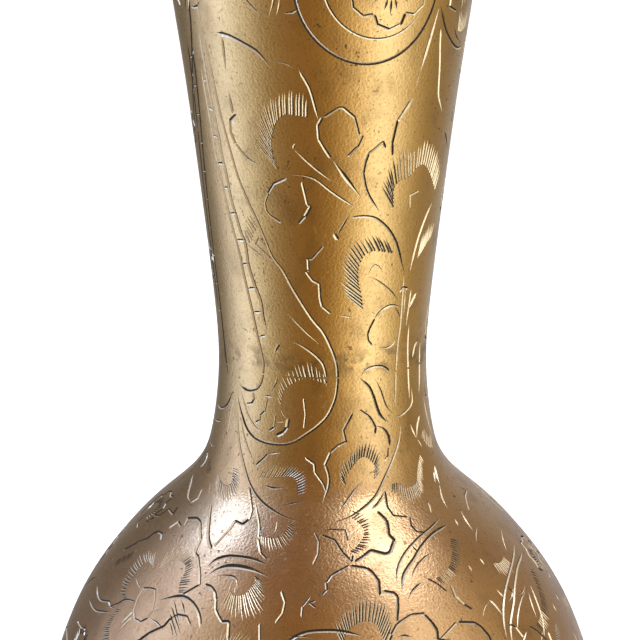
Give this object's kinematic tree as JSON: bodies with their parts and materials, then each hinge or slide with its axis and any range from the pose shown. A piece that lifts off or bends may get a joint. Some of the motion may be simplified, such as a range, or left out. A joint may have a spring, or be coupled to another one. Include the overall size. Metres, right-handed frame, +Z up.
{
  "type": "tall-necked engraved brass vase",
  "caption": "Brass vase with a tall flared neck, a rolled lip, a round body in two spun halves and a foot ring, engraved all over with leaves and tendrils.",
  "frame": {"origin": "centre of the foot ring's flat resting face", "axes": "+Z up along the axis that every piece is turned about; +Y away from the engraved front"},
  "size_m": [0.101, 0.101, 0.203],
  "materials": {
    "sheet_brass": "satin, engraved and aged, with brown patina",
    "spun_brass": "satin, engraved and aged, with a warm brown patina",
    "cast_brass": "cast and turned, tarnished in the hollows",
    "wire_brass": "drawn wire, dull",
    "braze": "filed braze metal, paler and duller than the sheet"
  },
  "bodies": {
    "root": {"neck": "sheet_brass", "lip_wire": "wire_brass", "neck_braze": "braze", "upper_body": "spun_brass", "belly_braze": "braze", "lower_body": "spun_brass", "foot_braze": "braze", "foot_ring": "cast_brass"}
  },
  "joints": []
}
